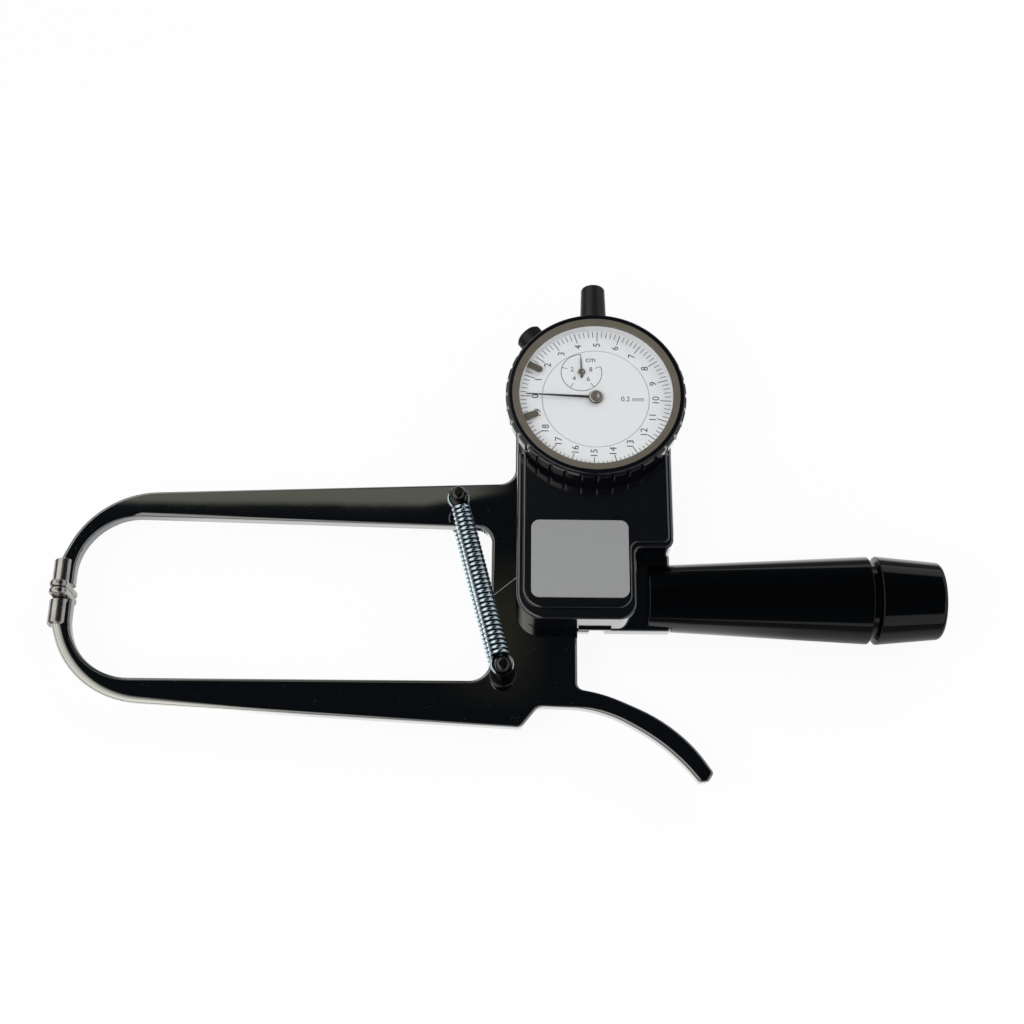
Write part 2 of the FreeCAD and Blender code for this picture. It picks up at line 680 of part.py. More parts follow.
def gauge_case():
    """Cup that holds the movement, with a stem that guides the spindle."""
    wall = S.case_wall
    inner = S.case_radius - wall
    body = turned("gauge_case", [
        (0, 0, 0), (S.case_radius, 0, 0.6), (S.case_radius, S.case_height, 0.3),
        (inner, S.case_height, 0), (inner, wall, 1.0), (0, wall, 0)],
        S.gauge_x, S.gauge_y, FRONT)
    stem = body.newObject("PartDesign::AdditiveCylinder", "Stem")
    stem.setExpression("Radius", words(S.spindle_radius + 0.7))
    stem.setExpression("Height", "16")
    place(stem, 0, -inner - 16, SPINDLE, ACROSS)
    doc.recompute()
    bore = S.spindle_radius + S.run_gap
    cut_rod(body, bore, 110, 0, -55, SPINDLE, ACROSS)
    cut_rod(body, CAP_RADIUS + 0.02, 5, 0, S.case_radius - 0.6, SPINDLE, ACROSS)
    start = polar(S.case_radius - 5, CLAMP_ANGLE)
    cut_rod(body, 1.4 + S.run_gap, 10, *start, S.case_height - CLAMP_DROP,
            turned_along(CLAMP_ANGLE))
    for x, y in GAUGE_SCREWS:
        cut_disc(body, x, y, 1.2, 5, 8)


def gauge_screws():
    """Screws that hold the gauge case to the frame, from inside."""
    screws = []
    for index, (x, y) in enumerate(GAUGE_SCREWS):
        head = FRONT + S.case_wall
        head_part = cylinder(f"gauge_screw_{index}_head", 2.1, 1.2, S.gauge_x + x, S.gauge_y + y,
                             head)
        stem = cylinder(f"gauge_screw_{index}_stem", 1.2, S.case_wall, S.gauge_x + x,
                        S.gauge_y + y, FRONT)
        fused = doc.addObject("Part::Fuse", f"gauge_screw_{index}")
        fused.Base = head_part
        fused.Tool = stem
        screws.append(fused)
    joined("gauge_screws", screws, "Part::Compound")


def bezel():
    """Turning bezel with grip notches, and the metal ring and crystal it carries."""
    low = CASE_TOP + 0.1
    skirt = S.case_radius + S.skirt_over
    rim = skirt - 0.6
    tall = S.bezel_height
    body = turned("bezel", [
        (RING_OUTER, 1.0, 0), (RING_OUTER + 0.3, 0, 0), (skirt, 0, 0.5), (skirt, tall - 1.9, 0.3),
        (rim, tall - 1.5, 0), (rim, tall, 0.5), (RING_OUTER, tall, 0)],
        S.gauge_x, S.gauge_y, low)
    sketch = new_sketch(body, tall - 1.4)
    ring(sketch, skirt + 0.35, 0, 0.9)
    notch = pocket(body, sketch, tall)
    body.Tip = notch
    pattern = body.newObject("PartDesign::PolarPattern", "Notches")
    pattern.Originals = [notch]
    pattern.Axis = (sketch, ["N_Axis"])
    pattern.Angle = 360
    pattern.setExpression("Occurrences", words(S.bezel_notches))
    body.Tip = pattern
    doc.recompute()
    turned("bezel_ring", [
        (RING_INNER, tall - S.ring_thick, 0), (RING_OUTER, tall - S.ring_thick, 0),
        (RING_OUTER, tall, 0.2), (RING_INNER + 0.3, tall, 0), (RING_INNER, tall - 0.3, 0)],
        S.gauge_x, S.gauge_y, low)
    glass = RING_INNER - 0.02
    turned("crystal", [
        (0, 0, 0), (glass, 0, 0), (glass, 0.8, 0.2), (0, 1.0, 0)],
        S.gauge_x, S.gauge_y, low + tall - 1.4)


def dial():
    """Scale ring that turns with the bezel and has a raised wall, and the fixed disc inside it."""
    low = CASE_TOP + 1.1
    inner = DISC + 0.05
    outer = RING_OUTER - 0.1
    wall = S.bezel_height - S.ring_thick - 1.05
    turned("dial_scale_ring", [
        (inner, 0, 0), (outer, 0, 0), (outer, wall, 0), (RING_INNER, wall, 0),
        (RING_INNER, 0.6, 0), (inner, 0.6, 0)], S.gauge_x, S.gauge_y, low)
    body = new_body("dial_centre_disc", S.gauge_x, S.gauge_y, low)
    disc(body, 0, 0, DISC - 0.05, 0, 0.6)
    for x, y in ((12.0, 4.0), (-12.0, 4.0), (0.0, -13.0)):
        disc(body, x, y, 1.2, -1.4, 1.5)
    cut_disc(body, 0, 0, 0.9, 1, 2)
    cut_disc(body, *COUNTER, 0.8, 1, 2)


COUNTER = (-4.5, 9.3)
RACK_WHEEL = (-4.1, -9.0)
PLATE_RADIUS = S.case_radius - S.case_wall - 2.2
POSTS_LOW = [polar(PLATE_RADIUS - 4.0, angle) for angle in (0, 120, 240)]
POSTS_HIGH = [polar(PLATE_RADIUS - 3.0, angle) for angle in (15, 195, 325)]


def movement():
    """Plates, pillars, wheels and spindle that turn the spindle's travel into the reading."""
    x0, y0 = S.gauge_x, S.gauge_y
    floor = FRONT + S.case_wall
    plate = CASE_TOP - 4.8
    bridge = CASE_TOP - 1.3
    low_posts = [cylinder(f"pillar_{i}", 2.0, plate - floor, x0 + x, y0 + y, floor)
                 for i, (x, y) in enumerate(POSTS_LOW)]
    joined("movement_pillars", low_posts, "Part::Compound")
    high_posts = [cylinder(f"bridge_pillar_{i}", 1.6, bridge - plate - 1.2, x0 + x, y0 + y,
                           plate + 1.2) for i, (x, y) in enumerate(POSTS_HIGH)]
    joined("bridge_pillars", high_posts, "Part::Compound")
    body = new_body("movement_plate", x0, y0, plate)
    disc(body, 0, 0, PLATE_RADIUS, 0, 1.2)
    cut_disc(body, *RACK_WHEEL, 0.8 + S.run_gap, 2, 3)
    cut_disc(body, 0, 0, 0.6 + S.run_gap, 2, 1.6)
    cut_disc(body, *COUNTER, 0.5 + S.run_gap, 2, 1.6)
    body = new_body("bridge_plate", x0, y0, bridge)
    disc(body, 0, 0, PLATE_RADIUS, 0, 1.0)
    cut_disc(body, *RACK_WHEEL, 0.8 + S.run_gap, 2, 3)
    cut_disc(body, 0, 0, 0.6 + S.run_gap, 2, 3)
    cut_disc(body, *COUNTER, 0.5 + S.run_gap, 2, 3)
    wheel = plate + 1.5 - floor
    pinion = SPINDLE - S.case_wall
    turned("rack_pinion_wheel", [
        (0, 0.1, 0), (0.8, 0.1, 0), (0.8, pinion - 1.5, 0), (1.95, pinion - 1.5, 0),
        (1.95, pinion + 1.4, 0), (0.8, pinion + 1.4, 0), (0.8, wheel, 0), (8.93, wheel, 0),
        (8.93, wheel + 0.6, 0), (0.8, wheel + 0.6, 0), (0.8, wheel + 2.6, 0),
        (0, wheel + 2.6, 0)], x0 + RACK_WHEEL[0], y0 + RACK_WHEEL[1], floor)
    turned("centre_arbor", [
        (0, 0.85, 0), (0.6, 0.85, 0), (0.6, 1.45, 0), (0.9, 1.45, 0), (0.9, 2.2, 0),
        (1.6, 2.35, 0), (1.6, 3.05, 0), (0.6, 3.05, 0), (0.6, 7.4, 0), (0, 7.4, 0)],
        x0, y0, plate)
    turned("counter_wheel", [
        (0, 0.85, 0), (0.5, 0.85, 0), (0.5, 2.4, 0), (8.5, 2.4, 0), (8.5, 3.0, 0), (0.5, 3.0, 0),
        (0.5, 6.75, 0), (0, 6.75, 0)], x0 + COUNTER[0], y0 + COUNTER[1], plate)


def pointers():
    """Main pointer, small counter pointer and the two limit markers."""
    x0, y0 = S.gauge_x, S.gauge_y
    up = FreeCAD.Vector(0, 0, 1)
    body = new_body("main_pointer", x0, y0, CASE_TOP + 2.6, FreeCAD.Rotation(up, 177.2))
    disc(body, 0, 0, 2.3, 0, 0.5)
    slab(body, [(-2.0, -0.5, 0), (22.4, -0.12, 0), (22.4, 0.12, 0), (-2.0, 0.5, 0)], 0, 0.25)
    body = new_body("counter_pointer", x0 + COUNTER[0], y0 + COUNTER[1], CASE_TOP + 1.95,
                    FreeCAD.Rotation(up, 92))
    disc(body, 0, 0, 1.1, 0, 0.3)
    slab(body, [(-2.0, -0.3, 0), (5.4, -0.12, 0), (5.4, 0.12, 0), (-2.0, 0.3, 0)], 0, 0.25)
    reach = RING_INNER - 0.1
    near = RING_INNER - 5.1
    half = S.marker_width / 2
    for label, angle in (("lower_limit_marker", 198.5), ("upper_limit_marker", 152.4)):
        body = new_body(label, x0, y0, CASE_TOP + 3.25, FreeCAD.Rotation(up, angle))
        slab(body, [(near, -half, half - 0.05), (reach, -half, 0), (reach, half, 0),
                    (near, half, half - 0.05)], 0, 0.4)


def spindle():
    """Spindle with its contact tip and top cap, the drive pin, and the bezel clamp screw."""
    x0 = S.gauge_x
    z = FRONT + SPINDLE
    foot = number(S.drive_radius) * math.sin(math.radians(-15)) + number(S.drive_pin) + 0.04
    turned("contact_tip", [
        (0, 0, 0), (1.2, 0, 0), (2.4, 0.5, 0), (2.4, 3.0, 0.3), (0, 3.0, 0)], x0, foot, z, ACROSS)
    rod = cylinder("plunger", S.spindle_radius, 96.0, x0, foot + 3.0, z, ACROSS)
    rod.Label = "plunger"
    pieces.append(rod)
    cap = turned("spindle_cap", [
        (0, 0, 0), (CAP_RADIUS, 0, 0), (CAP_RADIUS, 6.0, 0), (3.95, 20.1, 0.9), (0, 20.4, 0)],
        x0, S.gauge_y + S.case_radius - 0.6, z, ACROSS)
    cut_rod(cap, S.spindle_radius + 0.3, 19.6, 0, 0, -1, None)
    pin_x, pin_y = polar(S.drive_radius, -15)
    pin = cylinder("drive_pin", S.drive_pin, 12.9, pin_x, pin_y, REAR + 0.25)
    pin.Label = "drive_pin"
    pieces.append(pin)
    start = polar(S.case_radius - 1.7, CLAMP_ANGLE, S.gauge_x, S.gauge_y)
    turned("bezel_clamp_screw", [
        (0, 0, 0), (1.4, 0, 0), (1.4, 6.0, 0), (4.5, 6.0, 0.5), (4.5, 11.0, 0.5), (0, 11.0, 0)],
        *start, CASE_TOP - CLAMP_DROP, turned_along(CLAMP_ANGLE))


def check(pieces):
    """Stop if any object has failed or any piece's shape is unusable."""
    doc.recompute()
    bad = [item.Name for item in doc.Objects if {"Invalid", "Error"} & set(item.State)]
    bad += [item.Label for item in pieces if item.Shape.isNull() or not item.Shape.isValid()]
    if bad:
        raise RuntimeError(f"failed: {bad}")


fixed_jaw_frame()
moving_jaw()
knuckle()
contacts()
spring_posts()
springs()
front_cover()
rear_cover()
cover_screws()
label_plate()
handle()
gauge_case()
gauge_screws()
bezel()
dial()
movement()
pointers()
spindle()
check(pieces)
os.makedirs("parts", exist_ok=True)
for item in pieces:
    item.Shape.exportStep(f"parts/{item.Label}.step")
    print(item.Label, round(item.Shape.Volume, 1), len(item.Shape.Solids))
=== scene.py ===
"""Looks of a sprung skinfold caliper: finishes, springs, dial print, knurled screw and studio."""
import math

import bmesh
import bpy
from bpy.props import FloatProperty, FloatVectorProperty, IntProperty, PointerProperty
from bpy.types import Operator, Panel, PropertyGroup
from mathutils import Matrix, Vector


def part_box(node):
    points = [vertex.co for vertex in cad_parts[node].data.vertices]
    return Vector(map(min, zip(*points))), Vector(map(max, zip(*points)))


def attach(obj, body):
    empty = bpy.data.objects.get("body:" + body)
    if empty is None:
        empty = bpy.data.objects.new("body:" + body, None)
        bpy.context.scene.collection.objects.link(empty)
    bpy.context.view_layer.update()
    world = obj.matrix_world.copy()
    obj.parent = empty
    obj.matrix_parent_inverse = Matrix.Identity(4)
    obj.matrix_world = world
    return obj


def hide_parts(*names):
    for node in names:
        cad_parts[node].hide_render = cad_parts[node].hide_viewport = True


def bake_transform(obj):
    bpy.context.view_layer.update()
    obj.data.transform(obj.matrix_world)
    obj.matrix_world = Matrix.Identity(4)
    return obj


bl_info = {
    "name": "Skinfold caliper",
    "version": (1, 0, 0),
    "blender": (4, 5, 0),
    "location": "3D View > Sidebar > Caliper",
    "description": "Finishes, springs, dial print and studio for a skinfold caliper",
    "category": "Object",
}

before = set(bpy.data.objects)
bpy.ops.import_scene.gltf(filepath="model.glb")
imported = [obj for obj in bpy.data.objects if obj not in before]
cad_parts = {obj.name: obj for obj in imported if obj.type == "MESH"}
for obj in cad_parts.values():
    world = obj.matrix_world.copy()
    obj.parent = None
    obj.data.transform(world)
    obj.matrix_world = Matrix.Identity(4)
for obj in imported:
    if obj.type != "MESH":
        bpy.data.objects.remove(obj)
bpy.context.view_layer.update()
MM = 0.001


def middle(node):
    """Centre of a node's box, in metres."""
    low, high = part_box(node)
    return (Vector(low) + Vector(high)) / 2


def top(node):
    """Highest point of a node, in metres."""
    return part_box(node)[1][2]


GAUGE = middle("bezel")
DIAL_TOP = top("dial_centre_disc")
COUNTER = middle("counter_wheel")
UP = Vector((0.0, 0.0, 1.0))

# Angles about the gauge's centre, in degrees from +X: the scale's zero and the clamp screw.
ZERO = 178.2
SCREW_ANGLE = 128.7


# Sizes and colours that a user would change

class CaliperSizes(PropertyGroup):
    """Sizes of the pieces that are made here."""

    wire: FloatProperty(name="Spring wire", description="Diameter of the spring wire",
                        default=1.15 * MM, min=0.2 * MM, unit="LENGTH")
    coil: FloatProperty(name="Coil radius", description="Outer radius of the springs",
                        default=3.15 * MM, min=1.0 * MM, unit="LENGTH")
    turns: IntProperty(name="Turns", description="Turns of wire in each spring", default=33, min=4)
    numeral: FloatProperty(name="Numerals", description="Height of the dial's numerals",
                           default=3.15 * MM, min=0.5 * MM, unit="LENGTH")
    print_lift: FloatProperty(name="Print lift", description="Thickness of the dial's print",
                              default=0.02 * MM, min=0.005 * MM, unit="LENGTH")
    knurls: IntProperty(name="Knurls", description="Ridges round the clamp screw's head",
                        default=40, min=8)


class CaliperColours(PropertyGroup):
    """Colours of the finishes, as linear values."""

    lacquer: FloatVectorProperty(name="Lacquer", description="Black lacquer of the jaws",
                                 subtype="COLOR", default=(0.0012, 0.0013, 0.0018))
    cover: FloatVectorProperty(name="Covers", description="Black paint of covers and gauge",
                               subtype="COLOR", default=(0.0030, 0.0033, 0.0050))
    nickel: FloatVectorProperty(name="Nickel", description="Sleeves and contact pads",
                                subtype="COLOR", default=(0.52, 0.505, 0.48))
    zinc: FloatVectorProperty(name="Zinc", description="Springs", subtype="COLOR",
                              default=(0.58, 0.69, 0.75))
    ring: FloatVectorProperty(name="Ring", description="Metal ring round the dial",
                              subtype="COLOR", default=(0.135, 0.120, 0.092))
    dial: FloatVectorProperty(name="Dial", description="Dial face", subtype="COLOR",
                              default=(0.86, 0.86, 0.87))
    label: FloatVectorProperty(name="Label", description="Bare metal plate", subtype="COLOR",
                               default=(0.42, 0.425, 0.43))


# Shader maths

class Value:
    """A shader socket that takes part in sums like a number."""

    def __init__(self, finish, socket):
        self.finish = finish
        self.socket = socket

    def maths(self, operation, first, second):
        """One sum on two values or numbers."""
        return self.finish.node("Math", {"operation": operation}, {0: first, 1: second})

    def __add__(self, other):
        return self.maths("ADD", self, other)

    def __sub__(self, other):
        return self.maths("SUBTRACT", self, other)

    def __rsub__(self, other):
        return self.maths("SUBTRACT", other, self)

    def __mul__(self, other):
        return self.maths("MULTIPLY", self, other)

    def __gt__(self, other):
        return self.maths("GREATER_THAN", self, other)

    def at_least(self, bound):
        """This value, but never below a bound."""
        return self.maths("MAXIMUM", self, bound)

    def at_most(self, bound):
        """This value, but never above a bound."""
        return self.maths("MINIMUM", self, bound)

    __radd__ = __add__
    __rmul__ = __mul__


class Finish:
    """A node material that is written as Python expressions."""

    def __init__(self, name, tree=None):
        if tree is None:
            self.material = bpy.data.materials.new(name)
            self.material.use_nodes = True
            tree = self.material.node_tree
        self.tree = tree
        self.tree.nodes.clear()

    def node(self, kind, settings=None, values=None, output=0):
        """Add a node, set it up, fill its sockets and give back one of its outputs."""
        node = self.tree.nodes.new(f"ShaderNode{kind}")
        for key, setting in (settings or {}).items():
            if key == "stops":
                self.fill_ramp(node.color_ramp, setting)
            else:
                setattr(node, key, setting)
        for key, value in (values or {}).items():
            socket = node.inputs[key]
            if isinstance(value, Value):
                self.tree.links.new(value.socket, socket)
            elif hasattr(socket.default_value, "__len__") and len(socket.default_value) == 4:
                socket.default_value = tuple(value)[:3] + (1.0,)
            else:
                socket.default_value = value
        return Value(self, node.outputs[output])

    @staticmethod
    def fill_ramp(ramp, stops):
        """Give a colour ramp its stops (position, grey or colour)."""
        while len(ramp.elements) < len(stops):
            ramp.elements.new(0.5)
        for element, (position, colour) in zip(ramp.elements, stops):
            element.position = position
            colour = (colour,) * 3 if isinstance(colour, (int, float)) else tuple(colour)
            element.color = colour[:3] + (1.0,)

    def place(self, scale=(1.0, 1.0, 1.0), move=(0.0, 0.0, 0.0)):
        """Object coordinates in millimetres, stretched and moved."""
        spot = self.node("TexCoord", output="Object")
        scale = tuple(1000.0 * factor for factor in scale)
        return self.node("Mapping", None, {"Vector": spot, "Scale": scale, "Location": move})

    def noise(self, size, detail=2.0, scale=(1.0, 1.0, 1.0), rough=0.5):
        """Noise with features of about a size in millimetres."""
        return self.node("TexNoise", None, {"Vector": self.place(scale), "Scale": 1.0 / size,
                                            "Detail": detail, "Roughness": rough})

    def ramp(self, value, stops):
        """A value or colour read off a ramp."""
        return self.node("ValToRGB", {"stops": stops}, {0: value})

    def mix(self, factor, first, second):
        """A colour between two colours, which are a Mix node's sockets 6 and 7."""
        return self.node("Mix", {"data_type": "RGBA"}, {0: factor, 6: first, 7: second}, 2)

    def span(self, value, low, high):
        """0 at a low value, rising to 1 at a high one."""
        return self.node("MapRange", None, {0: value, 1: low, 2: high})

    def vector(self, operation, values, output=0):
        """Vector maths; a length or a dot product comes out at output 1."""
        return self.node("VectorMath", {"operation": operation}, values, output)

    def ray(self, name):
        """What is known about the ray that meets the surface."""
        return self.node("LightPath", output=name)

    def bump(self, height, depth):
        """A normal from a height, with its depth in millimetres."""
        return self.node("Bump", None, {"Height": height, "Distance": depth * MM})

    def specks(self, size, amount):
        """Scattered specks, 1 on a speck and 0 elsewhere."""
        spots = self.node("TexVoronoi", {"feature": "F1"},
                          {"Vector": self.place(), "Scale": 1.0 / size})
        patchy = self.noise(size * 6, 1.0)
        return (0.11 - spots > 0.0) * (patchy > 1.0 - amount)

    def surface(self, **values):
        """Close the material with a principled surface."""
        names = {key.replace("_", " "): value for key, value in values.items()}
        shader = self.node("BsdfPrincipled", None, names)
        self.close(shader)
        return self.material

    def close(self, shader, kind="Material"):
        """Lead a shader to the output of the material or the world."""
        output = self.tree.nodes.new(f"ShaderNodeOutput{kind}")
        self.tree.links.new(shader.socket, output.inputs["Surface"])


def rolled_edge(finish):
    """Height that falls away along the outer edge of the lower arm, and a painted highlight along
    that edge.

    The edge keeps its distance from a line that runs straight, bends and runs straight again.
    """
    bend = (-127.54, -4.89, 0.0)
    radius = 31.5
    wide = 3.05
    arm_start = -60.0
    place = finish.place()
    across = finish.node("SeparateXYZ", None, {0: place})
    taper = finish.span(across, -70.0, -150.0)
    spot = finish.vector("MULTIPLY", {0: place, 1: (1.0, 1.0, 0.0)})
    spot = finish.vector("SUBTRACT", {0: spot, 1: bend})
    for along in ((0.9985, -0.0541, 0.0), (-0.3264, 0.9452, 0.0)):
        beyond = finish.vector("DOT_PRODUCT", {0: spot, 1: along}, 1).at_least(0.0)
        step = finish.vector("SCALE", {0: along, "Scale": beyond})
        spot = finish.vector("SUBTRACT", {0: spot, 1: step})
    away = finish.vector("LENGTH", {0: spot}, 1)
    into = (away - radius + taper * wide).at_least(0.0)
    arm = arm_start - across > 0.0
    # Painted highlight: a pale metallic strip on the rolled edge stands in for the edge's bright
    # reflection
    painted_edge_shine = finish.span(into, 0.1, 1.2)
    return into * into * -0.075 * arm, painted_edge_shine * arm * 0.66


def lacquer(name, colour, peel=0.004, rough=0.02, rolled=False):
    """Glossy black lacquer with a slight orange peel and a little dust."""
    finish = Finish(name)
    dust = finish.specks(0.9, 0.37)
    cloud = finish.noise(18.0, 3.0)
    base = finish.mix(dust, colour, (0.05, 0.055, 0.07))
    waves = finish.noise(26.0, 1.0) * 5.0 + finish.noise(7.0, 1.0) + finish.noise(1.2, 2.0) * 0.15
    painted_edge_shine = 0.0
    if rolled:
        fall, painted_edge_shine = rolled_edge(finish)
        waves = waves + fall * (1.0 / peel)
        # Pale metallic strip along the rolled edge: a painted highlight of the edge's bright
        # reflection
        base = finish.mix(painted_edge_shine, base, (0.80, 0.80, 0.74))
    return finish.surface(
        Base_Color=base, Metallic=painted_edge_shine, Roughness=rough + cloud * 0.02 + dust * 0.3, IOR=1.9,
        Coat_Weight=1.0, Coat_Roughness=0.015, Coat_IOR=2.2,
        Normal=finish.bump(waves, peel))


def cover_paint(name, colour, grain=0.010, rough=0.14, coat=1.0):
    """Black paint with a soft sheen over a slightly grainy casting."""
    finish = Finish(name)
    dust = finish.specks(1.1, 0.36)
    grainy = finish.noise(0.7, 3.0) + finish.noise(3.0, 1.0) * 0.8
    worn = finish.noise(12.0, 3.0)
    base = finish.mix(dust, colour, (0.03, 0.032, 0.04))
    return finish.surface(
        Base_Color=base, Roughness=rough + worn * 0.08, IOR=1.5, Coat_Weight=coat,
        Coat_Roughness=0.05, Coat_IOR=1.7, Normal=finish.bump(grainy, grain))


def handle_plastic():
    """Polished black plastic with faint turning lines round the grip."""
    finish = Finish("handle_plastic")
    lines = finish.noise(1.0, 2.0, (2.2, 0.03, 0.03))
    haze = finish.noise(9.0, 3.0)
    return finish.surface(
        Base_Color=(0.0008, 0.0009, 0.0011), Roughness=0.04 + haze * 0.05, IOR=1.45,
        Specular_IOR_Level=0.4, Normal=finish.bump(lines, 0.003))


def metal(name, colour, rough, scale=(1.0, 1.0, 1.0), size=0.5, depth=0.006, dark=0.65,
          metallic=1.0):
    """Worked metal with fine marks drawn out along a direction."""
    finish = Finish(name)
    marks = finish.noise(size, 4.0, scale, 0.6)
    stain = finish.noise(4.0, 3.0)
    base = finish.mix(finish.ramp(stain, [(0.3, 0.0), (0.75, 1.0)]), colour,
                      tuple(channel * dark for channel in colour))
    return finish.surface(
        Base_Color=base, Metallic=metallic, Roughness=rough + marks * 0.12 + stain * 0.06,
        Normal=finish.bump(marks, depth))


def wire(colour):
    """Bright zinc on the outside of the coils, with painted shade darkening their inside."""
    finish = Finish("zinc_wire")
    outside = finish.node("Attribute", {"attribute_name": "outside"}, output="Fac")
    stain = finish.noise(0.8, 3.0)
    marks = finish.noise(0.5, 2.0)
    # Painted shade: the wire turns near-black towards the inside of the coil, where shade falls
    base = finish.mix(finish.ramp(outside, [(0.40, 0.0), (0.85, 1.0)]), (0.010, 0.016, 0.022),
                      colour)
    return finish.surface(
        Base_Color=base, Metallic=1.0, Roughness=0.10 + stain * 0.10 + marks * 0.04,
        Normal=finish.bump(marks, 0.002))


def brushed_plate(colour):
    """Bare satin plate with a fine sparkle."""
    finish = Finish("label_satin")
    sparkle = finish.noise(0.22, 3.0, rough=0.7)
    drawn = finish.noise(0.5, 3.0, (0.12, 1.0, 1.0))
    cloud = finish.noise(8.0, 2.0)
    base = finish.mix(finish.ramp(sparkle, [(0.35, 0.0), (0.72, 1.0)]),
                      tuple(channel * 0.80 for channel in colour), colour)
    return finish.surface(
        Base_Color=base, Metallic=0.35, Roughness=0.34 + sparkle * 0.16 + cloud * 0.06,
        Normal=finish.bump(sparkle + drawn * 0.6, 0.006))


def dial_face(colour):
    """Off-white printed dial with the faintest mottling."""
    finish = Finish("dial_face")
    mottle = finish.noise(6.0, 3.0)
    fine = finish.noise(0.3, 2.0)
    base = finish.mix(mottle, colour, tuple(channel * 0.965 for channel in colour))
    return finish.surface(Base_Color=base, Roughness=0.42 + fine * 0.10, IOR=1.45,
                          Normal=finish.bump(fine, 0.002))


def ink(name, colour):
    """Printing ink, slightly uneven."""
    finish = Finish(name)
    uneven = finish.noise(0.4, 2.0)
    base = finish.mix(uneven, colour, tuple(min(1.0, channel * 1.8 + 0.01) for channel in colour))
    return finish.surface(Base_Color=base, Roughness=0.45 + uneven * 0.15)


def crystal():
    """Clear crystal: mostly see-through, with a weak clean reflection."""
    finish = Finish("crystal_clear")
    smear = finish.noise(9.0, 2.0)
    clear = finish.node("BsdfTransparent", None, {"Color": (0.985, 0.99, 0.99)})
    shine = finish.node("BsdfPrincipled", None, {
        "Base Color": (0.95, 0.97, 1.0), "Metallic": 1.0, "Roughness": 0.02 + smear * 0.04})
    finish.close(finish.node("MixShader", None, {0: 0.03 + smear * 0.02, 1: clear, 2: shine}))
    return finish.material


def make_finishes(colours):
    """Make every finish, by name."""
    return {
        "lacquer": lacquer("lacquer_black", colours.lacquer),
        "jaw": lacquer("lacquer_jaw", colours.lacquer, rolled=True),
        "cover": cover_paint("cover_paint", colours.cover),
        "bezel": cover_paint("bezel_paint", colours.cover, 0.004, 0.07, 0.35),
        "cap": cover_paint("cap_satin", (0.0032, 0.0032, 0.0036), 0.008, 0.45, 0.0),
        "grip": handle_plastic(),
        "nickel": metal("nickel_satin", colours.nickel, 0.13, (1.0, 0.12, 1.0), 0.35, 0.003),
        "zinc": wire(colours.zinc),
        "post": metal("post_blued", (0.085, 0.08, 0.078), 0.12, size=0.5, depth=0.03, dark=0.5),
        "ring": metal("ring_bronze", colours.ring, 0.34, size=0.25, depth=0.003, dark=0.85,
                      metallic=0.15),
        "hub": metal("hub_steel", (0.52, 0.48, 0.42), 0.16, size=0.25, depth=0.002, dark=0.75,
                     metallic=0.8),
        "label": brushed_plate(colours.label),
        "steel": metal("steel_ground", (0.55, 0.55, 0.56), 0.25),
        "brass": metal("brass_machined", (0.70, 0.50, 0.22), 0.28),
        "dial": dial_face(colours.dial),
        "ink": ink("ink_black", (0.012, 0.013, 0.018)),
        "ink_grey": ink("ink_grey", (0.40, 0.41, 0.42)),
        "crystal": crystal(),
    }


# The finish of each piece that comes from the solid model
NODE_FINISHES = {
    "lacquer": ("fixed_jaw_frame",),
    "jaw": ("moving_jaw",),
    "cover": ("front_cover", "rear_cover", "gauge_case"),
    "bezel": ("bezel",),
    "cap": ("spindle_cap",),
    "grip": ("handle_grip",),
    "nickel": ("fixed_jaw_sleeve", "moving_jaw_sleeve", "fixed_contact_pad",
               "moving_contact_pad"),
    "post": ("front_upper_spring_post", "rear_upper_spring_post", "front_lower_spring_post",
             "rear_lower_spring_post", "cover_screws", "rear_cover_screws", "gauge_screws"),
    "ring": ("bezel_ring", "lower_limit_marker", "upper_limit_marker"),
    "label": ("label_plate",),
    "steel": ("pivot_pin", "pivot_clip", "drive_pin", "handle_stud", "plunger", "contact_tip",
              "centre_arbor"),
    "brass": ("pivot_bush", "movement_pillars", "bridge_pillars", "movement_plate",
              "bridge_plate", "rack_pinion_wheel", "counter_wheel"),
    "dial": ("dial_scale_ring", "dial_centre_disc"),
    "ink": ("main_pointer", "counter_pointer"),
    "crystal": ("crystal",),
}


# Mesh helpers

def finished(name):
    """A finish that has been made."""
    return bpy.data.materials[bpy.context.scene["caliper_finishes"][name]]


def new_piece(name, mesh, finish, body, replaces=()):
    """Put a mesh in the scene as a piece that rides on a body, if one is given."""
    piece = bpy.data.objects.new(name, mesh)
    bpy.context.scene.collection.objects.link(piece)
    mesh.materials.append(finished(finish))
    if body:
        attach(piece, body)
    if replaces:
        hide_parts(*replaces)
    return piece


def polar(centre, radius, angle):
    """A level point at a radius and an angle in degrees from a centre."""
    return (centre.x + radius * math.cos(math.radians(angle)),
            centre.y + radius * math.sin(math.radians(angle)))


def put(along_x, along_y, along_z, place):
    """Matrix that turns the axes to three directions and moves the origin to a place."""
    return Matrix.Translation(place) @ Matrix((along_x, along_y, along_z)).transposed().to_4x4()


def mesh_from(name, bm, smooth=False):
    """A mesh from bmesh data, with its normals outwards."""
    bmesh.ops.remove_doubles(bm, verts=bm.verts, dist=1e-7)
    bmesh.ops.recalc_face_normals(bm, faces=bm.faces)
    mesh = bpy.data.meshes.new(name)
    bm.to_mesh(mesh)
    bm.free()
    if smooth:
        mesh.shade_smooth()
    return mesh


def joined(name, meshes):
    """One mesh from several."""
    bm = bmesh.new()
    for mesh in meshes:
        bm.from_mesh(mesh)
        bpy.data.meshes.remove(mesh)
    mesh = bpy.data.meshes.new(name)
    bm.to_mesh(mesh)
    bm.free()
    return mesh


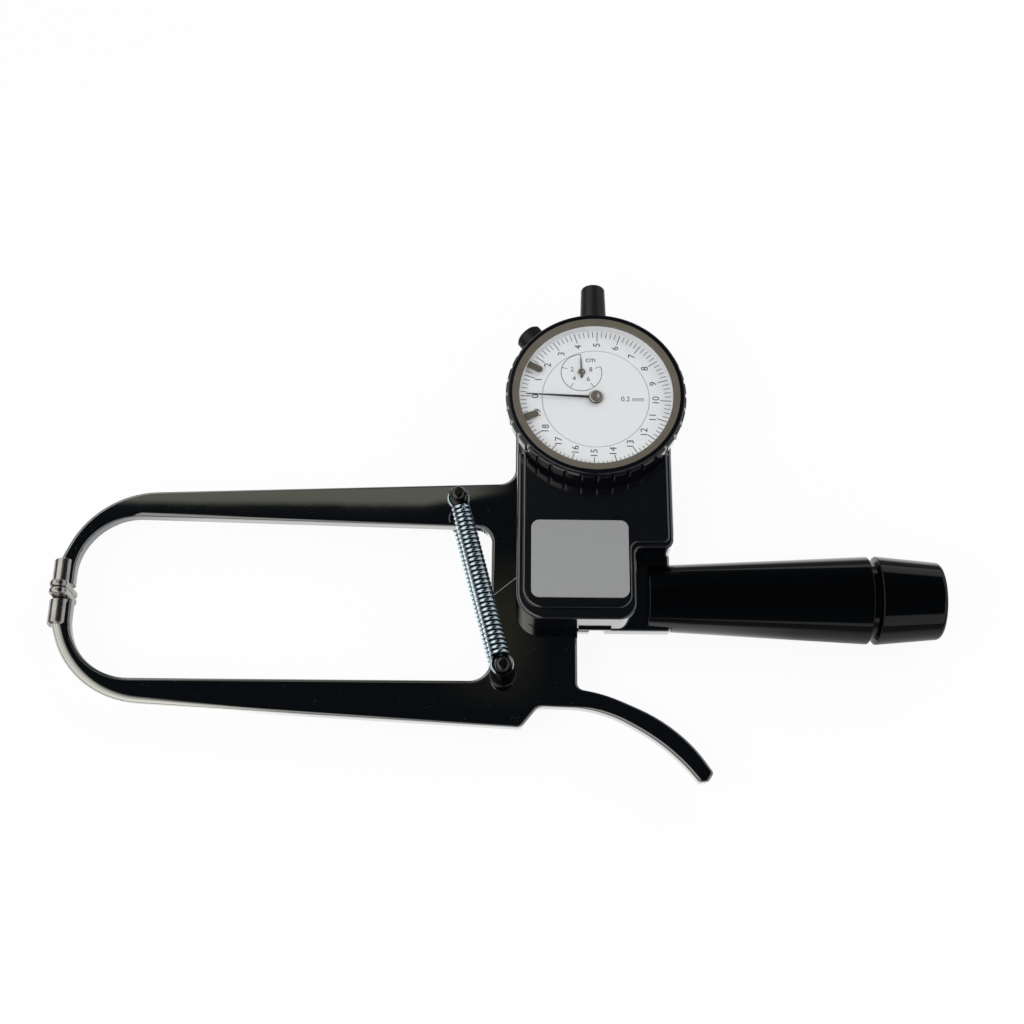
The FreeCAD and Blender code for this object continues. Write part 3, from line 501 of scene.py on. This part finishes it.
def arc_band(bm, centre, inner, outer, start, end, low, high, steps):
    """Add a flat curved band, with angles in degrees."""
    closed = abs(end - start) >= 360
    rows = []
    for index in range(steps if closed else steps + 1):
        angle = math.radians(start + (end - start) * index / steps)
        way = Vector((math.cos(angle), math.sin(angle), 0))
        near = Vector(centre) + way * inner
        far = Vector(centre) + way * outer
        rows.append([bm.verts.new((p.x, p.y, z)) for p, z in
                     ((near, low), (far, low), (far, high), (near, high))])
    pairs = list(zip(rows, rows[1:] + rows[:1] if closed else rows[1:]))
    for row, after in pairs:
        for side in range(4):
            other = (side + 1) % 4
            bm.faces.new((row[side], row[other], after[other], after[side]))
    if not closed:
        bm.faces.new(rows[0])
        bm.faces.new(rows[-1])


def bar(bm, centre, angle, start, end, width, low, high):
    """Add a straight radial bar from one radius to another."""
    way = Vector((math.cos(math.radians(angle)), math.sin(math.radians(angle)), 0))
    side = Vector((-way.y, way.x, 0)) * width / 2
    hub = Vector((centre.x, centre.y, 0))
    feet = [hub + way * start - side, hub + way * end - side,
            hub + way * end + side, hub + way * start + side]
    lower = [bm.verts.new((p.x, p.y, low)) for p in feet]
    upper = [bm.verts.new((p.x, p.y, high)) for p in feet]
    bm.faces.new(lower)
    bm.faces.new(upper)
    for index in range(4):
        after = (index + 1) % 4
        bm.faces.new((lower[index], lower[after], upper[after], upper[index]))


def turned(profile, steps):
    """Mesh data of a shape turned about Z, from a profile of (radius, height)."""
    bm = bmesh.new()
    rows = [[bm.verts.new((radius * math.cos(math.tau * step / steps),
                           radius * math.sin(math.tau * step / steps), height))
             for step in range(steps)] for radius, height in profile]
    for row, after in zip(rows, rows[1:]):
        for step in range(steps):
            other = (step + 1) % steps
            bm.faces.new((row[step], row[other], after[other], after[step]))
    return bm


def lettering(text, size, spot, angle, thick):
    """A mesh of raised lettering on the dial, centred on a spot and turned by an angle."""
    curve = bpy.data.curves.new("lettering", "FONT")
    curve.body = text
    curve.size = size
    curve.align_x = "CENTER"
    curve.align_y = "CENTER"
    curve.extrude = thick / 2
    carrier = bpy.data.objects.new("lettering", curve)
    bpy.context.scene.collection.objects.link(carrier)
    bpy.context.view_layer.update()
    graph = bpy.context.evaluated_depsgraph_get()
    mesh = bpy.data.meshes.new_from_object(carrier.evaluated_get(graph))
    bpy.data.objects.remove(carrier)
    bpy.data.curves.remove(curve)
    turn = Matrix.Rotation(math.radians(angle), 4, "Z")
    mesh.transform(Matrix.Translation((*spot, DIAL_TOP + thick / 2)) @ turn)
    return mesh


def tube(bm, points, radius, sides=8):
    """Add a round wire along points."""
    rings = []
    normal = None
    for index, point in enumerate(points):
        before = points[max(index - 1, 0)]
        after = points[min(index + 1, len(points) - 1)]
        way = (after - before).normalized()
        if normal is None:
            normal = way.orthogonal().normalized()
        normal = (normal - way * normal.dot(way)).normalized()
        other = way.cross(normal)
        rings.append([bm.verts.new(point + radius * (
            normal * math.cos(math.tau * s / sides) + other * math.sin(math.tau * s / sides)))
            for s in range(sides)])
    for row, after in zip(rings, rings[1:]):
        for side in range(sides):
            next_side = (side + 1) % sides
            bm.faces.new((row[side], row[next_side], after[next_side], after[side]))
    bm.faces.new(rings[0])
    bm.faces.new(rings[-1])


# Geometry Nodes

def new_tree(name, inputs):
    """A geometry tree with named inputs; gives back the tree and its input sockets."""
    tree = bpy.data.node_groups.new(name, "GeometryNodeTree")
    tree.interface.new_socket("Geometry", in_out="INPUT", socket_type="NodeSocketGeometry")
    for label, kind, default in inputs:
        socket = tree.interface.new_socket(label, in_out="INPUT", socket_type=f"NodeSocket{kind}")
        socket.default_value = default
    tree.interface.new_socket("Geometry", in_out="OUTPUT", socket_type="NodeSocketGeometry")
    entry = tree.nodes.new("NodeGroupInput")
    return tree, entry.outputs


def add_node(tree, kind, values=None, settings=None):
    """Add a node to a geometry tree and fill its sockets."""
    node = tree.nodes.new(kind)
    for key, setting in (settings or {}).items():
        setattr(node, key, setting)
    for key, value in (values or {}).items():
        if isinstance(value, bpy.types.NodeSocket):
            tree.links.new(value, node.inputs[key])
        else:
            node.inputs[key].default_value = value
    return node


def close_tree(tree, geometry, finish):
    """End a tree in real geometry with its finish."""
    real = add_node(tree, "GeometryNodeRealizeInstances", {"Geometry": geometry})
    painted = add_node(tree, "GeometryNodeSetMaterial",
                       {"Geometry": real.outputs[0], "Material": finished(finish)})
    exit_node = tree.nodes.new("NodeGroupOutput")
    tree.links.new(painted.outputs[0], exit_node.inputs[0])


def coil_tree(finish):
    """Tree of a wire coil that rises along Z."""
    tree, given = new_tree("Wire coil", [
        ("Turns", "Float", 33.0), ("Radius", "Float", 2.5 * MM), ("Length", "Float", 50 * MM),
        ("Wire", "Float", 0.4 * MM), ("Steps", "Int", 22)])
    spiral = add_node(tree, "GeometryNodeCurveSpiral", {
        "Resolution": given["Steps"], "Rotations": given["Turns"],
        "Start Radius": given["Radius"], "End Radius": given["Radius"],
        "Height": given["Length"], "Reverse": True})
    profile = add_node(tree, "GeometryNodeCurvePrimitiveCircle",
                       {"Resolution": 8, "Radius": given["Wire"]}, {"mode": "RADIUS"})
    wire = add_node(tree, "GeometryNodeCurveToMesh", {
        "Curve": spiral.outputs[0], "Profile Curve": profile.outputs[0], "Fill Caps": True})
    smooth = add_node(tree, "GeometryNodeSetShadeSmooth", {"Geometry": wire.outputs[0]})
    close_tree(tree, smooth.outputs[0], finish)
    return tree


def ring_tree(finish):
    """Tree of equal blocks set round a circle, each pointing outwards."""
    tree, given = new_tree("Ring of blocks", [
        ("Count", "Int", 100), ("Radius", "Float", 20 * MM), ("Size", "Vector", (MM, MM, MM))])
    circle = add_node(tree, "GeometryNodeMeshCircle",
                      {"Vertices": given["Count"], "Radius": given["Radius"]})
    block = add_node(tree, "GeometryNodeMeshCube", {"Size": given["Size"]})
    spot = add_node(tree, "GeometryNodeInputPosition")
    turn = add_node(tree, "FunctionNodeAlignRotationToVector", {"Vector": spot.outputs[0]},
                    {"axis": "X", "pivot_axis": "Z"})
    blocks = add_node(tree, "GeometryNodeInstanceOnPoints", {
        "Points": circle.outputs[0], "Instance": block.outputs[0], "Rotation": turn.outputs[0]})
    close_tree(tree, blocks.outputs[0], finish)
    return tree


def grown(tree, values):
    """Plain mesh that a tree makes with the given inputs."""
    carrier = bpy.data.objects.new("carrier", bpy.data.meshes.new("carrier"))
    bpy.context.scene.collection.objects.link(carrier)
    modifier = carrier.modifiers.new("Nodes", "NODES")
    modifier.node_group = tree
    for item in tree.interface.items_tree:
        if item.in_out == "INPUT" and item.name in values:
            modifier[item.identifier] = values[item.name]
    bpy.context.view_layer.update()
    graph = bpy.context.evaluated_depsgraph_get()
    mesh = bpy.data.meshes.new_from_object(carrier.evaluated_get(graph))
    carrier.modifiers.clear()
    bpy.data.objects.remove(carrier)
    return mesh


# Operators

class CALIPER_OT_finishes(Operator):
    """Make the finishes and give every piece of the solid model its own"""

    bl_idname = "caliper.finishes"
    bl_label = "Finishes"

    def execute(self, context):
        finishes = make_finishes(context.scene.caliper_colours)
        context.scene["caliper_finishes"] = {key: m.name for key, m in finishes.items()}
        for key, nodes in NODE_FINISHES.items():
            for node in nodes:
                part = bpy.data.objects[node]
                part.data.materials.clear()
                part.data.materials.append(finishes[key])
        return {"FINISHED"}


class CALIPER_OT_springs(Operator):
    """Make the two tension springs, hooked over their posts"""

    bl_idname = "caliper.springs"
    bl_label = "Springs"

    def execute(self, context):
        sizes = context.scene.caliper_sizes
        tree = coil_tree("zinc")
        for side in ("front", "rear"):
            self.spring(side, sizes, tree)
        return {"FINISHED"}

    def spring(self, side, sizes, tree):
        """One spring, stretched between the post on the frame and the post on the jaw."""
        # Wire of the plain hook, the post's neck with a little room, and the coil's room to swing
        plain_wire = 0.8 * MM
        neck = 1.9 * MM
        slack = 0.65 * MM
        low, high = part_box(f"{side}_spring_hook")
        height = (low[2] + high[2]) / 2
        upper = middle(f"{side}_upper_spring_post").xy
        lower = middle(f"{side}_lower_spring_post").xy
        way = (lower - upper).normalized()
        hole = (high[0] - low[0]) / 2 - plain_wire
        seat = hole - neck
        first = upper + way * seat
        last = lower - way * seat
        start = first + way * hole
        end = last - way * (hole + slack)
        coil = grown(tree, {"Turns": float(sizes.turns), "Radius": sizes.coil - sizes.wire / 2,
                            "Length": (end - start).length, "Wire": sizes.wire / 2})
        across = Vector((-way.y, way.x, 0))
        axis = Vector((way.x, way.y, 0))
        foot = Vector((start.x, start.y, height))
        coil.transform(put(across, across.cross(axis), axis, foot))
        bm = bmesh.new()
        for centre, sign in ((first, 1), (last, -1)):
            self.loop(bm, Vector((centre.x, centre.y, height)), axis * sign, across,
                      hole + sizes.wire / 2, sizes)
        name = f"{side}_tension_spring"
        piece = new_piece(name, joined(name, [coil, mesh_from("loops", bm)]), "zinc", None,
                          (f"{side}_spring", f"{side}_spring_hook"))
        piece.data.shade_smooth()
        self.mark_outside(piece.data, foot, axis, sizes)
        near = start + way * MM
        far = end - way * MM
        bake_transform(piece)

    def mark_outside(self, mesh, foot, axis, sizes):
        """Store how far each point lies from the coil's axis, from inside to outside."""
        # The wire's finish paints shade on the inside of the coils with this value
        outside = mesh.attributes.new("outside", "FLOAT", "POINT")
        inner = sizes.coil - sizes.wire
        for vertex, item in zip(mesh.vertices, outside.data):
            reach = vertex.co - foot
            away = (reach - axis * reach.dot(axis)).length
            item.value = min(1.0, max(0.0, (away - inner) / sizes.wire))

    def loop(self, bm, centre, axis, across, radius, sizes):
        """Open loop round a post, with the wire led back into the coil."""
        steps = 24
        half_turn = 158
        wound = sizes.coil - sizes.wire / 2

        def point(along, side, rise=0.0):
            return centre + axis * along + across * side + UP * rise

        points = []
        for step in range(steps + 1):
            angle = math.radians(-half_turn + 2 * half_turn * step / steps) + math.pi
            points.append(point(radius * math.cos(angle), radius * math.sin(angle)))
        near = radius + 0.3 * MM
        far = radius + 1.6 * MM
        tail = [point(near, -0.55 * radius, -0.3 * wound),
                point(far, -0.75 * wound, -0.66 * wound)]
        head = [point(near, 0.3 * radius, 0.3 * wound), point(far, 0.2 * wound, 0.98 * wound)]
        if (points[0] - tail[0]).length > (points[-1] - tail[0]).length:
            tail, head = head, tail
        tube(bm, tail[::-1] + points + head, sizes.wire / 2)


class CALIPER_OT_dial_print(Operator):
    """Print the scale on the turning ring and the small scale on the fixed disc"""

    bl_idname = "caliper.dial_print"
    bl_label = "Dial print"

    def execute(self, context):
        sizes = context.scene.caliper_sizes
        self.scale(sizes)
        self.centre(sizes)
        return {"FINISHED"}

    def scale(self, sizes):
        """Hundred divisions and twenty numerals, read with the zero at the left."""
        thick = sizes.print_lift
        outer = 24.3 * MM
        numerals = 19.45 * MM
        tree = ring_tree("ink")
        meshes = []
        for count, length, width in ((100, 2.1 * MM, 0.20 * MM), (20, 3.5 * MM, 0.24 * MM)):
            marks = grown(tree, {"Count": count, "Radius": outer - length / 2,
                                 "Size": (length, width, thick)})
            marks.transform(Matrix.Rotation(math.radians(ZERO), 4, "Z"))
            marks.transform(Matrix.Translation((GAUGE.x, GAUGE.y, DIAL_TOP + thick / 2)))
            meshes.append(marks)
        for number in range(20):
            spot = polar(GAUGE, numerals, ZERO - 18.0 * number)
            meshes.append(lettering(str(number), sizes.numeral, spot, ZERO - 90.0, thick))
        new_piece("scale_print", joined("scale_print", meshes), "ink", "bezel")

    def centre(self, sizes):
        """Small scale of the counter with its numerals, the unit marks and a fine border."""
        thick = sizes.print_lift
        high = DIAL_TOP + thick
        start = 92
        numerals = 3.2 * MM
        bm = bmesh.new()
        arc_band(bm, COUNTER, 6.50 * MM, 6.70 * MM, start, 380, DIAL_TOP, high, 72)
        for index in range(5):
            bar(bm, COUNTER, start + 72 * index, 4.7 * MM, 6.6 * MM, 0.18 * MM, DIAL_TOP, high)
        meshes = [mesh_from("lines", bm)]
        for number, angle in ((2, 160), (4, 222), (6, 313), (8, 20)):
            meshes.append(lettering(str(number), 2.3 * MM, polar(COUNTER, numerals, angle), 0,
                                    thick))
        for words, size, spot in (
                ("cm", 2.8 * MM, (COUNTER.x + 3.0 * MM, COUNTER.y + 4.7 * MM)),
                ("0.2 mm", 2.45 * MM, (GAUGE.x + 11.8 * MM, GAUGE.y - 0.2 * MM))):
            meshes.append(lettering(words, size, spot, 0, thick))
        new_piece("centre_print", joined("centre_print", meshes), "ink", "frame")
        low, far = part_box("dial_centre_disc")
        edge = (far[0] - low[0]) / 2
        bm = bmesh.new()
        arc_band(bm, GAUGE, edge - 0.16 * MM, edge, 0, 360, DIAL_TOP, high, 120)
        new_piece("border_print", mesh_from("border_print", bm), "ink_grey", "frame")


class CALIPER_OT_hubs(Operator):
    """Turned metal hubs on the main pointer and on the counter's pointer"""

    bl_idname = "caliper.hubs"
    bl_label = "Hubs"

    def execute(self, context):
        self.hub("main_pointer_hub", GAUGE, top("main_pointer"), 2.2 * MM, 0.55 * MM, "centre")
        self.hub("counter_pointer_hub", COUNTER, top("counter_pointer"), 1.25 * MM, 0.25 * MM,
                 "counter")
        return {"FINISHED"}

    def hub(self, name, centre, low, radius, tall, body):
        """A domed button turned about the pointer's axis."""
        profile = ((0.0, 0.0), (1.0, 0.0), (1.0, 0.45), (0.93, 0.72), (0.80, 0.86), (0.45, 0.93),
                   (0.40, 0.80), (0.0, 0.86))
        bm = turned([(radius * part, tall * rise) for part, rise in profile], 40)
        mesh = mesh_from(name, bm, True)
        mesh.transform(Matrix.Translation((centre.x, centre.y, low)))
        new_piece(name, mesh, "hub", body)


class CALIPER_OT_seam(Operator):
    """Painted highlight: a bright strip on the moving jaw's edge along the closed seam"""

    bl_idname = "caliper.seam"
    bl_label = "Seam edge"

    def execute(self, context):
        angle = math.degrees(math.atan(5.5 / 6.6))
        length = 10.6 * MM
        width = 0.30 * MM
        pivot = middle("pivot_pin")
        foot = Vector((pivot.x - 20.7 * MM, pivot.y - 0.80 * MM, 0))
        plate = top("moving_jaw")
        # Thin satin strip that stands in for the glint of the seam's sharp edge: a painted
        # highlight
        bm = bmesh.new()
        bar(bm, foot, angle, 0.0, length, width, plate - 0.02 * MM, plate + 0.01 * MM)
        new_piece("seam_edge", mesh_from("seam_edge", bm), "label", "jaw")
        return {"FINISHED"}


class CALIPER_OT_clamp_screw(Operator):
    """Knurled head of the bezel's clamp screw"""

    bl_idname = "caliper.clamp_screw"
    bl_label = "Clamp screw"

    def execute(self, context):
        sizes = context.scene.caliper_sizes
        # Shank and head as (radius, distance from the gauge's centre), in millimetres
        profile = ((0.0, 24.3), (1.4, 24.3), (1.4, 30.3), (3.9, 30.3), (4.28, 30.8), (4.28, 34.7),
                   (3.8, 35.28), (0.0, 35.3))
        head = mesh_from("head", turned([(radius * MM, reach * MM) for radius, reach in profile],
                                        48))
        ridges = grown(ring_tree("cap"), {
            "Count": sizes.knurls, "Radius": 4.25 * MM, "Size": (0.42 * MM, 0.34 * MM, 3.7 * MM)})
        ridges.transform(Matrix.Translation((0, 0, 32.75 * MM)))
        mesh = joined("clamp_screw", [head, ridges])
        angle = math.radians(SCREW_ANGLE)
        axis = Vector((math.cos(angle), math.sin(angle), 0))
        origin = (GAUGE.x, GAUGE.y, middle("bezel_clamp_screw").z)
        mesh.transform(put(UP.cross(axis), UP, axis, origin))
        new_piece("clamp_screw", mesh, "cap", "clamp_screw", ("bezel_clamp_screw",))
        return {"FINISHED"}


class CALIPER_OT_stage(Operator):
    """Plain pale floor, soft studio light and the camera"""

    bl_idname = "caliper.stage"
    bl_label = "Stage"

    def execute(self, context):
        self.floor()
        self.world(context.scene)
        self.lamp("key_lamp", (-0.35, -0.25, 0.75), (0.5, 0.5), 3.0)
        self.lamp("fill_lamp", (0.45, 0.35, 0.65), (0.6, 0.6), 1.8)
        self.camera(context.scene)
        context.scene.view_settings.view_transform = "Standard"
        return {"FINISHED"}

    def seen(self, finish):
        """1 for rays from the camera, from shiny surfaces and through glass."""
        rays = [finish.ray(f"Is {kind} Ray") for kind in ("Camera", "Glossy", "Transmission")]
        return (rays[0] + rays[1] + rays[2]).at_most(1.0)

    def floor(self):
        """Pale round floor; shiny surfaces mirror it less from further off, and at two spots."""
        bm = bmesh.new()
        arc_band(bm, Vector((0.0, 0.03, 0.0)), 0.0001, 2.5, 0, 360, -0.002, 0.0, 64)
        mesh = mesh_from("floor", bm)
        finish = Finish("floor_white")
        grain = finish.noise(40.0, 2.0)
        white = finish.node("BsdfDiffuse", None, {"Color": finish.mix(
            grain, (0.90, 0.90, 0.90), (0.93, 0.93, 0.93))})
        far = finish.span(finish.ray("Ray Length"), 0.040, 0.068)
        mirrored = (1.0 - far * 0.93) * 1.4
        for move, edge, full, dim in (((-115.0, 25.0, 0.0), 65.0, 38.0, 0.65),
                                      ((155.0, -2.0, 0.0), 42.0, 20.0, 0.45)):
            away = finish.vector("LENGTH", {0: finish.place(move=move)}, 1)
            mirrored = mirrored * (1.0 - finish.span(away, edge, full) * dim)
        glow = finish.node("Emission", None, {
            "Color": (1.0, 1.0, 1.0),
            "Strength": 1.0 + finish.ray("Is Glossy Ray") * (mirrored - 1.0)})
        finish.close(finish.node("MixShader", None, {
            0: self.seen(finish) * 0.92, 1: white, 2: glow}))
        floor = bpy.data.objects.new("floor", mesh)
        mesh.materials.append(finish.material)
        bpy.context.scene.collection.objects.link(floor)

    def world(self, scene):
        """White surroundings; shiny surfaces mirror a dark ceiling with pale screens on it.

        The screens are cut out by the direction that is mirrored: x to the right, y away from
        the camera and z up.
        """
        world = bpy.data.worlds.new("studio")
        world.use_nodes = True
        scene.world = world
        finish = Finish("studio", world.node_tree)

        def edge(value, soft=0.012):
            """0 below nought and 1 above it, with a soft edge."""
            return finish.span(value, -soft, soft)

        ray = finish.node("NewGeometry", output="Incoming")
        x, y, z = (finish.node("SeparateXYZ", None, {0: ray}, index) * -1.0 for index in range(3))

        # Olive screen behind, whose lower border rises a little to the right
        rise = edge(x + z * 0.03, 0.03) * 0.011
        behind = (edge(y - z * (rise + 0.419), 0.002) * edge(z * 0.95 - y)
                  * edge(x * -1.0 - 0.02, 0.02))
        # Faint warm strip just below it
        strip = (edge(z * 0.365 - y, 0.02) * edge(y - z * 0.29, 0.02)
                 * edge(0.012 - x, 0.012) * edge(x + 0.03, 0.02))
        # White screens low at the left and at the left, and a grey one at the right
        low = edge(x * -1.0 - z * 0.22, 0.03) * edge(0.12 - y, 0.10) * edge(z - 0.5, 0.05)
        left = edge(x * -1.0 - z * 0.36) * edge(z * 2.7 + x)
        right = edge(x - z * 0.9)

        haze = (1.0 - z) * 0.05 + 0.010
        mirrored = finish.mix(haze, (0.0, 0.0, 0.0), (0.75, 1.0, 1.25))
        for screen, colour in ((strip * 0.055, (1.0, 0.9, 0.5)), (behind, (0.40, 0.41, 0.33)),
                               (left, (1.20, 1.17, 1.13)), (low, (1.15, 1.13, 1.06)),
                               (right, (0.70, 0.71, 0.72))):
            mirrored = finish.mix(screen, mirrored, colour)
        colour = finish.mix(finish.ray("Is Glossy Ray"), (0.56, 0.56, 0.56), mirrored)
        colour = finish.mix(finish.ray("Is Camera Ray"), colour, (1.0, 1.0, 1.0))
        finish.close(finish.node("Background", None, {"Color": colour, "Strength": 1.0}), "World")

    def lamp(self, name, place, size, power):
        """A soft lamp that faces the gauge and isn't mirrored itself."""
        data = bpy.data.lights.new(name, "AREA")
        data.shape = "RECTANGLE"
        data.size, data.size_y = size
        data.energy = power
        lamp = bpy.data.objects.new(name, data)
        lamp.visible_glossy = False
        lamp.location = place
        aim = Vector((0.0, 0.02, 0.0)) - Vector(place)
        lamp.rotation_euler = aim.to_track_quat("-Z", "Y").to_euler()
        bpy.context.scene.collection.objects.link(lamp)

    def camera(self, scene):
        """Camera above the caliper, tilted down and rolled a little."""
        tilt = math.radians(67.5)
        roll = math.radians(0.54)
        distance = 0.5
        aim = Vector((-0.0144, 0.0293, middle("fixed_jaw_frame").z))
        data = bpy.data.cameras.new("camera")
        data.lens = 54.14
        data.sensor_width = 36.0
        data.clip_start = 0.01
        camera = bpy.data.objects.new("camera", data)
        scene.collection.objects.link(camera)
        forward = Vector((0, math.cos(tilt), -math.sin(tilt)))
        level = Vector((1, 0, 0))
        rise = level.cross(forward)
        right = level * math.cos(roll) + rise * math.sin(roll)
        up = rise * math.cos(roll) - level * math.sin(roll)
        camera.matrix_world = put(right, up, -forward, aim - forward * distance)
        scene.camera = camera


class CALIPER_PT_panel(Panel):
    """Sidebar panel that lists the caliper's operators"""

    bl_idname = "CALIPER_PT_panel"
    bl_label = "Skinfold caliper"
    bl_space_type = "VIEW_3D"
    bl_region_type = "UI"
    bl_category = "Caliper"

    def draw(self, context):
        """Show the sizes, the colours and a button for each operator."""
        for group in (context.scene.caliper_sizes, context.scene.caliper_colours):
            for name in group.bl_rna.properties.keys():
                if name not in ("rna_type", "name"):
                    self.layout.prop(group, name)
        for operator in OPERATORS:
            self.layout.operator(operator.bl_idname)


OPERATORS = (CALIPER_OT_finishes, CALIPER_OT_springs, CALIPER_OT_dial_print, CALIPER_OT_hubs,
             CALIPER_OT_seam, CALIPER_OT_clamp_screw, CALIPER_OT_stage)
CLASSES = (CaliperSizes, CaliperColours) + OPERATORS + (CALIPER_PT_panel,)


def register():
    """Register the classes and hang the two property groups on the scene."""
    for item in CLASSES:
        bpy.utils.register_class(item)
    bpy.types.Scene.caliper_sizes = PointerProperty(type=CaliperSizes)
    bpy.types.Scene.caliper_colours = PointerProperty(type=CaliperColours)


def unregister():
    """Take the properties and the classes away again."""
    del bpy.types.Scene.caliper_colours
    del bpy.types.Scene.caliper_sizes
    for item in reversed(CLASSES):
        bpy.utils.unregister_class(item)


def main():
    """Make every piece in order."""
    register()
    bpy.ops.caliper.finishes()
    bpy.ops.caliper.springs()
    bpy.ops.caliper.dial_print()
    bpy.ops.caliper.hubs()
    bpy.ops.caliper.seam()
    bpy.ops.caliper.clamp_screw()
    bpy.ops.caliper.stage()


if __name__ == "__main__":
    main()
